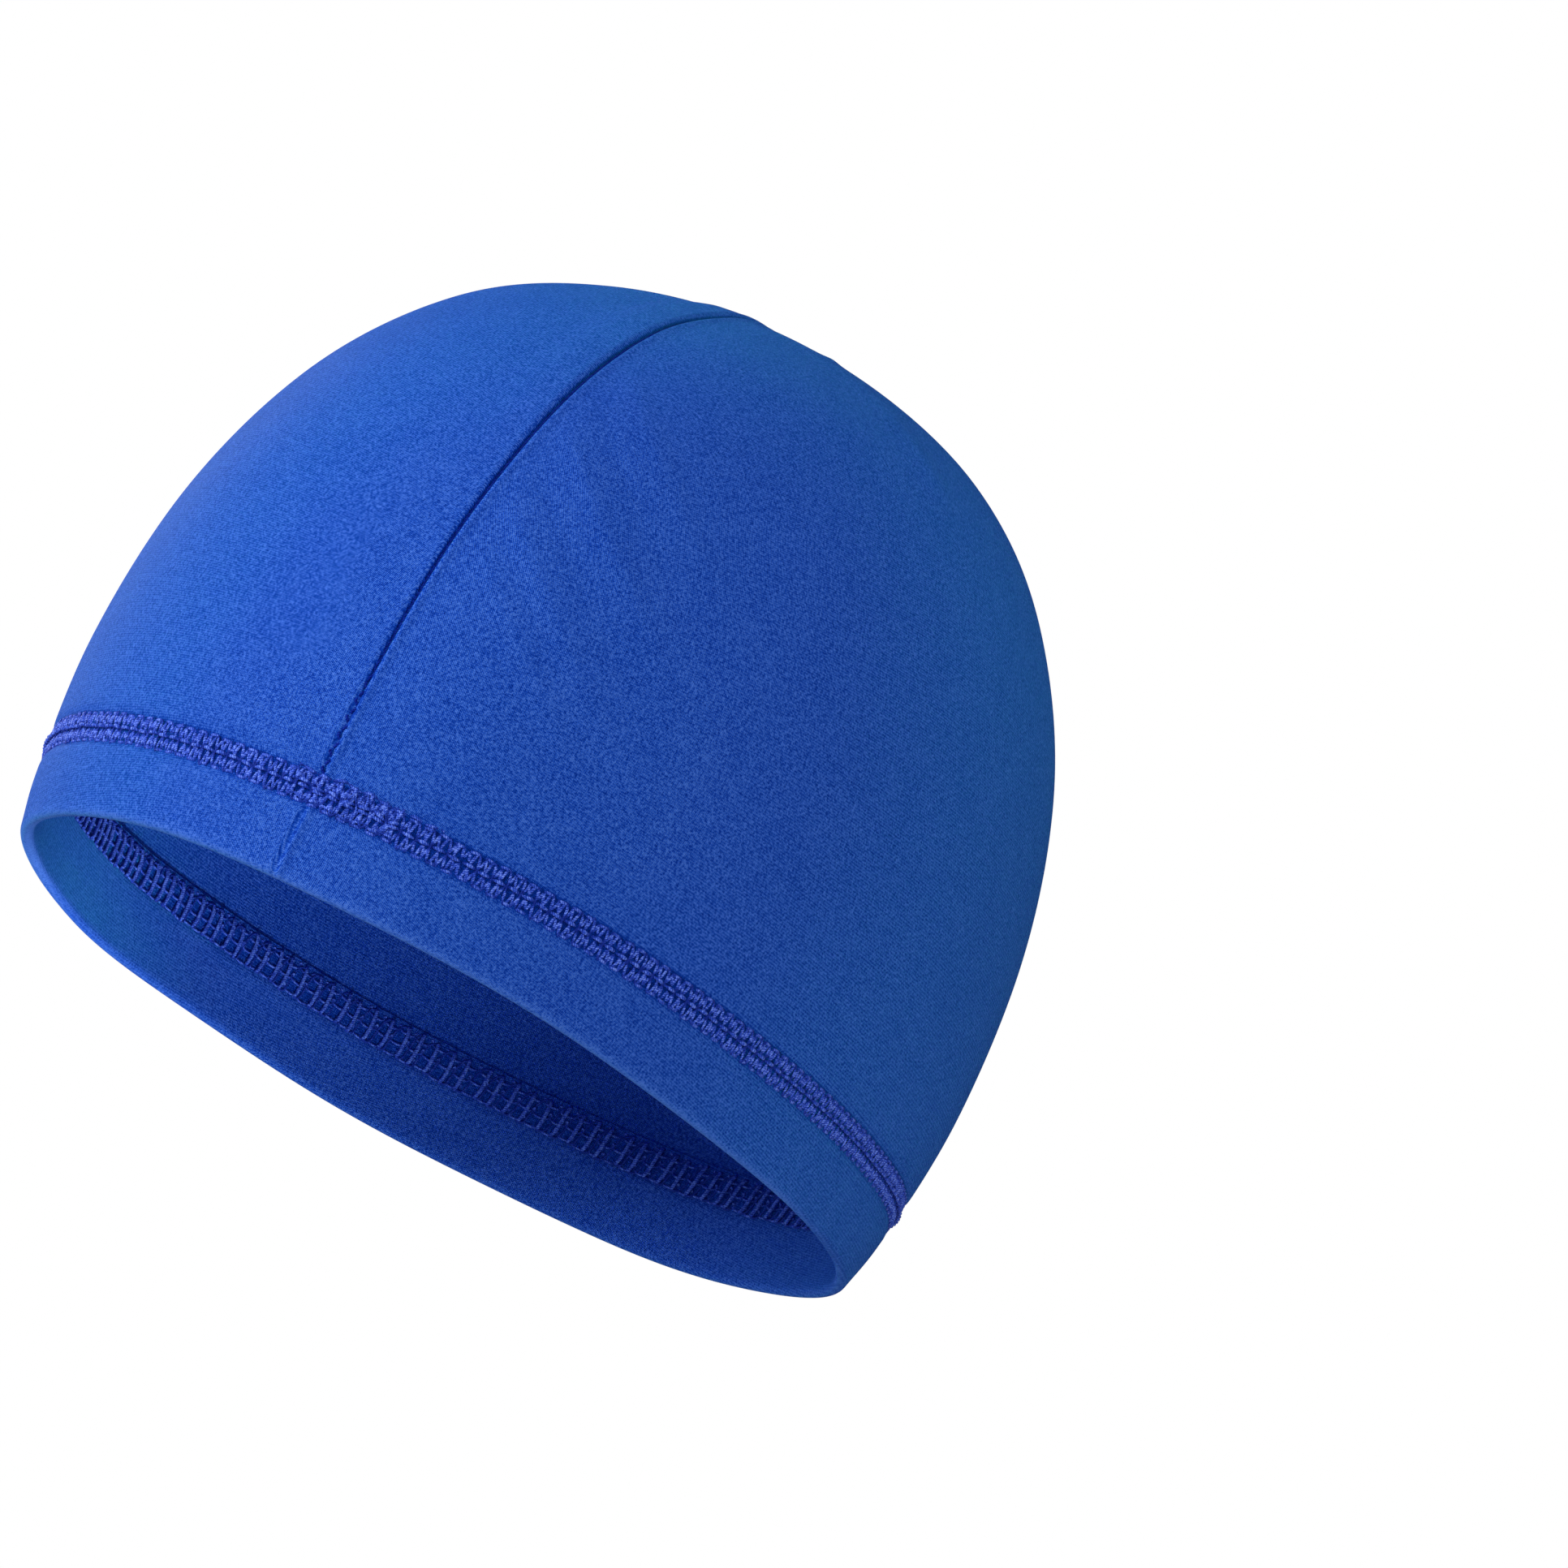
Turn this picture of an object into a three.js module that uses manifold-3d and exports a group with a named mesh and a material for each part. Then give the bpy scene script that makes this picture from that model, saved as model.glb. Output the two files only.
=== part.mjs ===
// A helmet liner cap of smooth stretch knit, filled out as it is on a head. The cap is one piece of
// cloth: its two cut edges meet in a seam that climbs from the hem, crosses the crown and ends high
// on the plain side. The lower edge is turned up inside as a hem and held by a band of cover stitching.
// Millimetres, +Z up, -Y towards the foot of the seam, z = 0 at the fold of the hem.
import * as THREE from 'three';
import { mergeVertices } from 'three/addons/utils/BufferGeometryUtils.js';
import Module from 'manifold-3d';

// Outside of the filled cap
const CAP_WIDTH = 157;
const CAP_HEIGHT = 138;
const SEAM_SIDE_REACH = 116.5; // from the widest section to the foot of the seam
const PLAIN_SIDE_REACH = 88.5; // and from there to the side without a seam
const SECTION_POWER = 2.1; // 2 makes each level an ellipse, more makes it squarer

// Cloth and hem
const CLOTH_THICKNESS = 1;
const PLY_GAP = 0.3; // between the wall and the turned-up ply
const HEM_DEPTH = 19.5; // from the fold to the cut edge inside

// Crown seam, with both allowances overlocked together and pressed to the -X side
const SEAM_GAP = 0.3;
const SEAM_END_HEIGHT = 91;
const ALLOWANCE_WIDTH = 5.2;
const ALLOWANCE_LAP = 0.8; // how far the allowance lies past the seam on the +X side
const ALLOWANCE_THICKNESS = 2;
const ALLOWANCE_OVERRUN = 3; // past the end of the seam

// Cover stitching, as heights above the fold
const OUTER_STITCH_FOOT = 12.4;
const OUTER_STITCH_WIDTH = 5.4;
const INNER_STITCH_FOOT = 12.7;
const INNER_STITCH_WIDTH = 6.4;
const STITCH_THICKNESS = 0.5;
const CLEARANCE = 0.3; // between touching pieces

// How finely the surfaces are faceted
const COLUMNS = 60;
const WALL_ROWS = 24;
const HEM_ROWS = 3;
const FOLD_STEPS = 5;
const ALLOWANCE_STEPS = 21; // on each side of the crown

// Each row is one level of the cap: its height, and its outline there, as shares of the sizes above.
const LEVELS = [
  { height: 0, width: 0.935, reach: 0.99 },
  { height: 0.1, width: 0.974, reach: 0.995 },
  { height: 0.25, width: 1, reach: 1 },
  { height: 0.45, width: 0.98, reach: 0.963 },
  { height: 0.65, width: 0.89, reach: 0.846 },
  { height: 0.82, width: 0.722, reach: 0.651 },
  { height: 0.93, width: 0.509, reach: 0.412 },
  { height: 0.985, width: 0.225, reach: 0.195 },
];

const SEAM_SIDE = -Math.PI / 2;
const PLAIN_SIDE = Math.PI / 2;
const FOLD_RADIUS = CLOTH_THICKNESS + PLY_GAP / 2;
const INNER_FOLD_RADIUS = PLY_GAP / 2;
const PLY_FACE = 2 * CLOTH_THICKNESS + PLY_GAP; // how deep the inner face of the turned-up ply lies
const MERGE_DISTANCE = 1e-4;

// The levels as one smooth curve, carried on past the apex so that the crown is level there
const rising = LEVELS.map((level) => new THREE.Vector3(level.width, level.reach, level.height));
const falling = rising.slice(-2).reverse().map((share) => new THREE.Vector3(-share.x, -share.y, share.z));
const apex = new THREE.Vector3(0, 0, 1);
const outline = new THREE.CatmullRomCurve3([...rising, apex, ...falling], false, 'centripetal');
const APEX_PARAMETER = rising.length / (outline.points.length - 1);

// A rise runs from 0 at the fold of the hem to 1 at the apex.
function sharesAt(rise) {
  return outline.getPoint(rise * APEX_PARAMETER);
}

function riseAt(height) {
  let low = 0;
  let high = 1;
  for (let step = 0; step < 40; step += 1) {
    const middle = (low + high) / 2;
    if (sharesAt(middle).z * CAP_HEIGHT < height) low = middle;
    else high = middle;
  }
  return (low + high) / 2;
}

// A point of the outer surface. Each level is a superellipse with one reach for each end.
function outerPoint(angle, rise) {
  const shares = sharesAt(rise);
  const bend = (value) => Math.sign(value) * Math.abs(value) ** (2 / SECTION_POWER);
  const reach = Math.sin(angle) < 0 ? SEAM_SIDE_REACH : PLAIN_SIDE_REACH;
  return new THREE.Vector3(
    (bend(Math.cos(angle)) * shares.x * CAP_WIDTH) / 2,
    bend(Math.sin(angle)) * shares.y * reach,
    shares.z * CAP_HEIGHT,
  );
}

function outwardNormal(angle, rise) {
  if (rise >= 1) return new THREE.Vector3(0, 0, 1);
  const step = 1e-3;
  const around = outerPoint(angle + step, rise).sub(outerPoint(angle - step, rise));
  const upper = outerPoint(angle, Math.min(rise + step, 1));
  const lower = outerPoint(angle, Math.max(rise - step, 0));
  return around.cross(upper.sub(lower)).normalize();
}

// A point at a depth inside the outer surface, or outside it where the depth is negative
function wallPoint(angle, rise, depth) {
  return outerPoint(angle, rise).addScaledVector(outwardNormal(angle, rise), -depth);
}

function spaced(from, to, steps) {
  return Array.from({ length: steps + 1 }, (_, step) => from + ((to - from) * step) / steps);
}

// Joins rings of points into one closed body. The path closes on itself or gets a flat cap at each end.
function loft(rings, closedPath) {
  const count = rings[0].length;
  const points = rings.flat();
  const faces = [];
  const addFace = (a, b, c) => {
    const apart = (p, q) => points[p].distanceTo(points[q]) > 1e-6;
    if (apart(a, b) && apart(b, c) && apart(c, a)) faces.push(a, b, c);
  };
  const spans = closedPath ? rings.length : rings.length - 1;
  for (let ring = 0; ring < spans; ring += 1) {
    const here = ring * count;
    const next = ((ring + 1) % rings.length) * count;
    for (let side = 0; side < count; side += 1) {
      const following = (side + 1) % count;
      addFace(here + side, here + following, next + following);
      addFace(here + side, next + following, next + side);
    }
  }
  if (!closedPath) {
    const last = (rings.length - 1) * count;
    for (let side = 1; side < count - 1; side += 1) {
      addFace(0, side + 1, side);
      addFace(last, last + side, last + side + 1);
    }
  }
  const coordinates = points.flatMap((point) => point.toArray());
  const geometry = new THREE.BufferGeometry();
  geometry.setAttribute('position', new THREE.Float32BufferAttribute(coordinates, 3));
  geometry.setIndex(faces);
  return mergeVertices(geometry, MERGE_DISTANCE);
}

// Sweeps a section, given as rises and depths, once around the cap
function sweepAround(section) {
  const angles = spaced(0, 2 * Math.PI, COLUMNS).slice(0, -1);
  return loft(
    angles.map((angle) => section.map(({ rise, depth }) => wallPoint(angle, rise, depth))),
    true,
  );
}

const wasm = await Module();
wasm.setup();

function toSolid(geometry) {
  const bare = geometry.clone();
  bare.deleteAttribute('normal');
  bare.deleteAttribute('uv');
  const shared = mergeVertices(bare, MERGE_DISTANCE);
  return new wasm.Manifold(
    new wasm.Mesh({
      numProp: 3,
      vertProperties: new Float32Array(shared.attributes.position.array),
      triVerts: new Uint32Array(shared.index.array),
    }),
  );
}

function toGeometry(solid) {
  const { vertProperties, triVerts } = solid.getMesh();
  const geometry = new THREE.BufferGeometry();
  geometry.setAttribute('position', new THREE.Float32BufferAttribute(vertProperties, 3));
  geometry.setIndex(Array.from(triVerts));
  return geometry;
}

// The section of the cloth, from the apex down the outside, round the fold, up the turned-up ply to its
// cut edge, back down between the plies and up the inside of the wall
function clothSection() {
  const foldTop = riseAt(FOLD_RADIUS);
  const wall = spaced(foldTop, 1, WALL_ROWS);
  const ply = spaced(FOLD_RADIUS, HEM_DEPTH, HEM_ROWS).map(riseAt);
  const turns = spaced(0, Math.PI, FOLD_STEPS + 1).slice(1, -1);
  return [
    ...wall.toReversed().map((rise) => ({ rise, depth: 0 })),
    ...turns.map((turn) => ({
      rise: riseAt(FOLD_RADIUS * (1 - Math.sin(turn))),
      depth: FOLD_RADIUS * (1 - Math.cos(turn)),
    })),
    ...ply.map((rise) => ({ rise, depth: PLY_FACE })),
    ...ply.toReversed().map((rise) => ({ rise, depth: CLOTH_THICKNESS + PLY_GAP })),
    { rise: riseAt(FOLD_RADIUS - INNER_FOLD_RADIUS), depth: FOLD_RADIUS },
    ...wall.map((rise) => ({ rise, depth: CLOTH_THICKNESS })),
  ];
}

// The slit where the two cut edges meet: the whole seam side and crown, and the plain side down to the
// end of the seam
function seamSlit() {
  const beyond = CAP_HEIGHT / 10;
  const top = CAP_HEIGHT + beyond;
  const shape = new THREE.Shape([
    new THREE.Vector2(-SEAM_SIDE_REACH - beyond, -beyond),
    new THREE.Vector2(0, -beyond),
    new THREE.Vector2(0, SEAM_END_HEIGHT),
    new THREE.Vector2(PLAIN_SIDE_REACH + beyond, SEAM_END_HEIGHT),
    new THREE.Vector2(PLAIN_SIDE_REACH + beyond, top),
    new THREE.Vector2(-SEAM_SIDE_REACH - beyond, top),
  ]);
  const slab = new THREE.ExtrudeGeometry(shape, { depth: SEAM_GAP, bevelEnabled: false });
  slab.translate(0, 0, -SEAM_GAP / 2);
  slab.rotateX(Math.PI / 2);
  slab.rotateZ(Math.PI / 2);
  return slab;
}

function capBody() {
  return toGeometry(toSolid(sweepAround(clothSection())).subtract(toSolid(seamSlit())));
}

// The overlocked allowance, a thick strip that follows the inside of the wall under the seam
function seamAllowance() {
  const bevel = ALLOWANCE_THICKNESS / 4;
  const nearWall = CLOTH_THICKNESS + CLEARANCE;
  const farFace = nearWall + ALLOWANCE_THICKNESS;
  const section = [
    { across: ALLOWANCE_LAP, depth: farFace - bevel },
    { across: ALLOWANCE_LAP - bevel, depth: farFace },
    { across: bevel - ALLOWANCE_WIDTH, depth: farFace },
    { across: -ALLOWANCE_WIDTH, depth: farFace - bevel },
    { across: -ALLOWANCE_WIDTH, depth: nearWall + bevel },
    { across: bevel - ALLOWANCE_WIDTH, depth: nearWall },
    { across: ALLOWANCE_LAP - bevel, depth: nearWall },
    { across: ALLOWANCE_LAP, depth: nearWall + bevel },
  ];
  const climb = spaced(riseAt(HEM_DEPTH + CLEARANCE), 1, ALLOWANCE_STEPS);
  const descent = spaced(1, riseAt(SEAM_END_HEIGHT - ALLOWANCE_OVERRUN), ALLOWANCE_STEPS).slice(1);
  const path = [
    ...climb.map((rise) => ({ angle: SEAM_SIDE, rise })),
    ...descent.map((rise) => ({ angle: PLAIN_SIDE, rise })),
  ];
  const rings = path.map(({ angle, rise }) =>
    section.map(({ across, depth }) => {
      const fall = across ** 2 / CAP_WIDTH; // the wall curves away to either side of the seam
      return wallPoint(angle, rise, depth + fall).setX(across);
    }),
  );
  return loft(rings, false);
}

// A band of stitching with thin edges. Its face looks away from the cloth that it lies on.
function stitchBand(foot, width, clothFace, outwards) {
  const away = outwards ? -1 : 1;
  const base = clothFace + away * CLEARANCE;
  const edge = base + (away * STITCH_THICKNESS) / 2;
  const face = base + away * STITCH_THICKNESS;
  const section = [
    { rise: riseAt(foot), depth: base },
    { rise: riseAt(foot), depth: edge },
    { rise: riseAt(foot + STITCH_THICKNESS), depth: face },
    { rise: riseAt(foot + width - STITCH_THICKNESS), depth: face },
    { rise: riseAt(foot + width), depth: edge },
    { rise: riseAt(foot + width), depth: base },
  ];
  return sweepAround(outwards ? section.toReversed() : section);
}

function named(name, geometry, color, roughness) {
  geometry.computeVertexNormals();
  const material = new THREE.MeshStandardMaterial({ color, roughness, metalness: 0 });
  const mesh = new THREE.Mesh(geometry, material);
  mesh.name = name;
  return mesh;
}

const CLOTH_BLUE = 0x1f50b4;
const THREAD_INDIGO = 0x2b2f9c;
const outerStitch = stitchBand(OUTER_STITCH_FOOT, OUTER_STITCH_WIDTH, 0, true);
const innerStitch = stitchBand(INNER_STITCH_FOOT, INNER_STITCH_WIDTH, PLY_FACE, false);

const cap = new THREE.Group();
cap.add(named('cap_body', capBody(), CLOTH_BLUE, 0.8));
cap.add(named('seam_allowance', seamAllowance(), CLOTH_BLUE, 0.85));
cap.add(named('hem_stitch_outer', outerStitch, THREAD_INDIGO, 0.6));
cap.add(named('hem_stitch_inner', innerStitch, THREAD_INDIGO, 0.6));

export default cap;
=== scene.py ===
"""Looks of a helmet liner cap: a close-fitting skull cap of royal blue stretch knit, filled out as
it is on a head, with one seam over the crown and a turned-up hem held by cover stitching."""
import math

import bpy
import numpy as np
from mathutils import Matrix, Vector


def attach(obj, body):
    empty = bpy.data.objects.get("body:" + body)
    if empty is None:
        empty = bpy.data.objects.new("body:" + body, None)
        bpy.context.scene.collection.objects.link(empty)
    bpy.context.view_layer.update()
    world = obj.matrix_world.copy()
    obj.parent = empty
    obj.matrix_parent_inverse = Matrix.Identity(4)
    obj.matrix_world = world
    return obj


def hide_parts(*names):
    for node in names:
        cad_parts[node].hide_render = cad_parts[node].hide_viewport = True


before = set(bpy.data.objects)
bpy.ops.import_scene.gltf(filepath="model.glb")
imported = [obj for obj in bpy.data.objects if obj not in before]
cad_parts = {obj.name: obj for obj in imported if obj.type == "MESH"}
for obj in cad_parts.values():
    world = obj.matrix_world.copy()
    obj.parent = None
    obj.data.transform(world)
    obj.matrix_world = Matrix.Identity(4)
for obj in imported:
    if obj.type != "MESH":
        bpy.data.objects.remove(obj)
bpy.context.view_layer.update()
MM = 0.001


# The cloth of the cap: one piece of fine interlock knit in polyester and elastane, stretched over a
# head. Its two cut edges meet in a seam, and its lower edge is turned up inside as the hem.
CAP_WIDTH = 157 * MM
CAP_HEIGHT = 138 * MM
SEAM_SIDE_REACH = 116.5 * MM
PLAIN_SIDE_REACH = 88.5 * MM
SECTION_POWER = 2.1
# Shares of width, of reach and of height at each level, from the fold of the hem upwards
LEVELS = np.array([
    (0.935, 0.990, 0.0), (0.974, 0.995, 0.1), (1.0, 1.0, 0.25), (0.980, 0.963, 0.45),
    (0.890, 0.846, 0.65), (0.722, 0.651, 0.82), (0.509, 0.412, 0.93), (0.225, 0.195, 0.985),
])
SEAM_SIDE = -math.pi / 2
PLAIN_SIDE = math.pi / 2


def levels_at(rise):
    """Shares at a rise from 0 at the fold to 1 at the apex, and their rates of change: a centripetal
    Catmull-Rom curve through LEVELS and the apex, carried on past it by the last two, mirrored."""
    mirrored = LEVELS[:-3:-1] * (-1, -1, 1)
    knots = np.vstack([2 * LEVELS[0] - LEVELS[1], LEVELS, (0, 0, 1), mirrored])
    gaps = np.linalg.norm(np.diff(knots, axis=0), axis=1)[:, None] ** 0.5
    place = np.clip(rise, 0, 1 - 1e-7) * len(LEVELS)
    i = np.floor(place).astype(int)
    t = (place - i)[..., None]
    a, b, c, d = (knots[i + step] for step in range(4))
    before, here, after = (gaps[i + step] for step in range(3))
    leave = ((b - a) / before - (c - a) / (before + here) + (c - b) / here) * here
    reach = ((c - b) / here - (d - b) / (here + after) + (d - c) / after) * here
    square = 3 * (c - b) - 2 * leave - reach
    cube = 2 * (b - c) + leave + reach
    shares = b + t * (leave + t * (square + t * cube))
    return shares, len(LEVELS) * (leave + t * (2 * square + 3 * t * cube))


RISES = np.linspace(0, 1, 4001)
HEIGHTS = levels_at(RISES)[0][:, 2] * CAP_HEIGHT


def rise_at(height):
    """The rise at which the outer face has a height."""
    return np.interp(height, HEIGHTS, RISES)


def smooth(value, low, high):
    """0 below low, 1 above high, and 3t^2 - 2t^3 between them."""
    t = np.clip((value - low) / (high - low), 0, 1)
    return t * t * (3 - 2 * t)


def bump(value, centre, spread):
    """A bell of height 1 about a centre: e to the minus half the squared distance in spreads."""
    return np.exp(-0.5 * ((value - centre) / spread) ** 2)


def distances_along(line):
    """Distances of the points of a line from its first, along the line."""
    return np.append(0, np.cumsum(np.linalg.norm(np.diff(line, axis=0), axis=1)))


def smooth_face(angle, rise):
    """A point of the outer face without folds, and its outward normal. A level is the superellipse
    |x/a|^n + |y/b|^n = 1, whose half width a and reach b follow the levels. The normal is the
    gradient of that sum."""
    angle, rise = np.broadcast_arrays(angle, rise)
    shares, rates = levels_at(rise)
    c, s = np.cos(angle), np.sin(angle)
    reach = np.where(s < 0, SEAM_SIDE_REACH, PLAIN_SIDE_REACH)
    size = np.stack([np.full_like(reach, CAP_WIDTH / 2), reach, np.full_like(reach, CAP_HEIGHT)], -1)
    a, b, height = np.moveaxis(shares * size, -1, 0)
    a_rate, b_rate, height_rate = np.moveaxis(rates * size, -1, 0)
    out, tilt = 2 / SECTION_POWER, 2 - 2 / SECTION_POWER
    x_bend, y_bend = (np.sign(v) * np.abs(v) ** out for v in (c, s))
    x_tilt, y_tilt = (np.sign(v) * np.abs(v) ** tilt for v in (c, s))
    normal = np.stack([
        height_rate * x_tilt * b,
        height_rate * y_tilt * a,
        -(c * c * a_rate * b + s * s * b_rate * a),
    ], -1)
    normal /= np.linalg.norm(normal, axis=-1, keepdims=True)
    return np.stack([a * x_bend, b * y_bend, height], -1), normal


GROOVE_DEPTH = 0.8 * MM
GROOVE_SPREAD = 0.29 * MM
GROOVE_HEIGHTS = (3, 10, 18, 30, 40)  # mm
GROOVE_SHARES = (0.13, 0.2, 0.5, 0.5, 1)  # of its depth at those heights
ROLL_RIGHT, ROLL_LEFT = 0.28, 0.2  # mm, heights of the rolls beside the groove
ROLL_PLACE, ROLL_SPREAD = 0.9 * MM, 0.4 * MM
SEAM_END = (88 * MM, 97 * MM)  # heights over which the seam runs out on the plain side
STITCH_FOOT, STITCH_TOP = 12.2 * MM, 17.7 * MM
DRAWN_IN = 0.35 * MM
HEM_SWELL, HEM_MIDDLE = 0.18 * MM, 6.5 * MM
ALLOWANCE_EDGE = -7.6 * MM
ALLOWANCE_RIDGE = 0.5 * MM
# Creases: the height in mm at which each meets the seam, from their middle, and a share of the stand
CREASES = ((-22, 0.5), (-13, 0.8), (-5, -0.6), (3, 0.9), (11, -0.5), (19, 0.6))
CREASE_MIDDLE, CREASE_SLOPE = 88 * MM, 0.9
CREASE_STAND, CREASE_SPREAD = 0.42 * MM, 1.5 * MM
PUCKER = np.array([14, -30, 133]) * MM
PUCKER_STAND, PUCKER_SPREAD = 0.3 * MM, 1.6 * MM
FOLD_START = np.array([16, -38, 131]) * MM
FOLD_RUN = np.array([27, -4, -13]) * MM
FOLD_STAND, FOLD_SPREAD = 0.6 * MM, 5 * MM
SLOW_WAVE = 0.12 * MM
RIM_WAVES = ((0.35 * MM, 3, 0.6), (0.2 * MM, 7, 2.1))  # height, waves round the rim, start
RIM_WAVE_FADE = 25 * MM


def seam_share(place):
    """1 where the crown seam runs, fading to 0 below its end on the plain side."""
    return np.where(place[..., 1] < 0, 1, smooth(place[..., 2], *SEAM_END))


def relief(place):
    """How far the cloth stands out from the smooth face. The seam is a cusp-shaped groove,
    -depth * e^(-|x| / spread), between two soft rolls. The allowance under it lifts a strip on the -X
    side, the cover stitching draws the cloth in, and the hem swells below it. Shallow creases run off
    the seam, a pucker and a soft fold lie by the crown, and slow waves run all over."""
    x, y, z = np.moveaxis(place, -1, 0)
    seam = seam_share(place)
    depth = GROOVE_DEPTH * np.interp(z / MM, GROOVE_HEIGHTS, GROOVE_SHARES)
    out = -seam * depth * np.exp(-np.abs(x) / GROOVE_SPREAD)
    roll = np.where(x > 0, ROLL_RIGHT, ROLL_LEFT)
    out += seam * roll * MM * bump(np.abs(x), ROLL_PLACE, ROLL_SPREAD)
    strip = smooth(x, ALLOWANCE_EDGE - 1.2 * MM, ALLOWANCE_EDGE + 1.4 * MM)
    strip *= 1 - smooth(x, -1.6 * MM, 0.4 * MM)
    out += seam * strip * ALLOWANCE_RIDGE * smooth(z, 60 * MM, 105 * MM)
    drawn = smooth(z, STITCH_FOOT - 1 * MM, STITCH_FOOT + 0.2 * MM)
    drawn *= 1 - smooth(z, STITCH_TOP - 0.2 * MM, STITCH_TOP + 1.2 * MM)
    out -= DRAWN_IN * drawn
    out += HEM_SWELL * bump(z, HEM_MIDDLE, 3 * MM)
    # creases that leave the seam on the +X side, from halfway up, and run down from it
    along = z - CREASE_MIDDLE + CREASE_SLOPE * x
    fade = smooth(x, 2 * MM, 9 * MM) * (1 - smooth(x, 24 * MM, 44 * MM)) * (y < 0)
    crease = sum(size * bump(along, start * MM, CREASE_SPREAD) for start, size in CREASES)
    out += CREASE_STAND * fade * crease
    near = np.linalg.norm(place - PUCKER, axis=-1)
    out += PUCKER_STAND * np.exp(-((near / PUCKER_SPREAD) ** 2))
    # a soft fold that leads down beside the pucker
    share = np.clip((place - FOLD_START) @ FOLD_RUN / (FOLD_RUN @ FOLD_RUN), 0, 1)
    near = np.linalg.norm(place - FOLD_START - share[..., None] * FOLD_RUN, axis=-1)
    out += FOLD_STAND * np.exp(-((near / FOLD_SPREAD) ** 2)) * (0.35 + 0.65 * share)
    slow = np.sin(x / (13 * MM) + 1.3 * np.sin(z / (21 * MM))) * np.sin(y / (17 * MM) + z / (26 * MM))
    return out + SLOW_WAVE * slow


def cloth_point(angle, rise, depth=0.0):
    """A point at a depth in the cloth, or above it where the depth is negative, and the normal: the
    smooth face moved along its normal by the relief less the depth. The rim waves a little."""
    place, normal = smooth_face(angle, rise)
    lift = relief(place) - depth
    point = place + lift[..., None] * normal
    wave = sum(height * np.sin(count * angle + start) for height, count, start in RIM_WAVES)
    point[..., 2] += wave * np.exp(-place[..., 2] / RIM_WAVE_FADE)
    return point, normal


def grid_part(points, uv, wrap_rows=False, poles=(), painted_shading=0.0):
    """Faces and corner UVs of grids of points, as grid, row, column, axis. Columns always close on
    themselves, rows do where they wrap. uv has one column more, and one row more where rows wrap.
    A pole is a point that closes the first or last row with a fan, and has the UV of that row.
    painted_shading is the shade painted onto each point, up to 1, or a highlight where below 0."""
    grids, rows, columns = points.shape[:3]
    spans = rows if wrap_rows else rows - 1
    g, r, c = np.meshgrid(np.arange(grids), np.arange(spans), np.arange(columns), indexing="ij")
    at = lambda row, column: (g * rows + row % rows) * columns + column % columns
    corners = ((r, c), (r + 1, c), (r + 1, c + 1), (r, c + 1))
    quads = np.stack([at(*corner) for corner in corners], -1).reshape(-1, 4)
    quad_uv = np.stack([uv[g, row, column] for row, column in corners], -2).reshape(-1, 2)
    places, faces, uvs = [points.reshape(-1, 3)], [quads], [quad_uv]
    shade_paint = [np.broadcast_to(painted_shading, points.shape[:3]).ravel()]
    count = grids * rows * columns
    for end, pole in enumerate(poles):
        row = (rows - 1) * end
        g, c = np.meshgrid(np.arange(grids), np.arange(columns), indexing="ij")
        here = (g * rows + row) * columns + c
        following = (g * rows + row) * columns + (c + 1) % columns
        pair = (here, following) if end == 0 else (following, here)
        faces.append(np.stack([count + g, *pair], -1).reshape(-1, 3))
        here_uv, following_uv = uv[g, row, c], uv[g, row, c + 1]
        pair = (here_uv, following_uv) if end == 0 else (following_uv, here_uv)
        uvs.append(np.stack([here_uv, *pair], -2).reshape(-1, 2))
        places.append(pole)
        shade_paint.append(np.zeros(grids))
        count += grids
    return places, faces, uvs, shade_paint


def new_piece(name, parts, material):
    """One mesh object from parts as grid_part gives them, smooth shaded, with its place in its mesh."""
    places, faces, uvs, shade_paint, start = [], [], [], [], 0
    for part_places, part_faces, part_uvs, part_shade_paint in parts:
        places += part_places
        faces += [(face + start).tolist() for face in part_faces]
        uvs += part_uvs
        shade_paint += part_shade_paint
        start += sum(len(some) for some in part_places)
    mesh = bpy.data.meshes.new(name)
    mesh.from_pydata(np.concatenate(places), [], [face for some in faces for face in some])
    layer = mesh.uv_layers.new(name="cloth")
    layer.data.foreach_set("uv", np.concatenate(uvs).astype(np.float32).ravel())
    mesh.polygons.foreach_set("use_smooth", np.ones(len(mesh.polygons), bool))
    # each point's painted shade, or painted highlight below 0, as an attribute that the materials read
    layer = mesh.attributes.new("painted_shading", "FLOAT", "POINT")
    layer.data.foreach_set("value", np.concatenate(shade_paint).astype(np.float32))
    mesh.materials.append(material)
    mesh.update()
    piece = bpy.data.objects.new(name, mesh)
    bpy.context.scene.collection.objects.link(piece)
    return piece


def add_node(tree, kind, output=0, operation=None, **inputs):
    """A shader node and its output socket. An input is a socket to link, or a value to set. An input
    called in0 or in1 is the first or second one, which nodes with like-named sockets need."""
    node = tree.nodes.new(kind)
    if operation:
        node.operation = operation
    for name, value in inputs.items():
        key = int(name[2:]) if name[:2] == "in" and name[2:].isdigit() else name.replace("_", " ")
        if isinstance(value, bpy.types.NodeSocket):
            tree.links.new(value, node.inputs[key])
        else:
            node.inputs[key].default_value = value
    return node.outputs[output]


def calculate(tree, operation, *values):
    """The result of a Math node."""
    return add_node(tree, "ShaderNodeMath", operation=operation,
                    **{f"in{i}": value for i, value in enumerate(values)})


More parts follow.
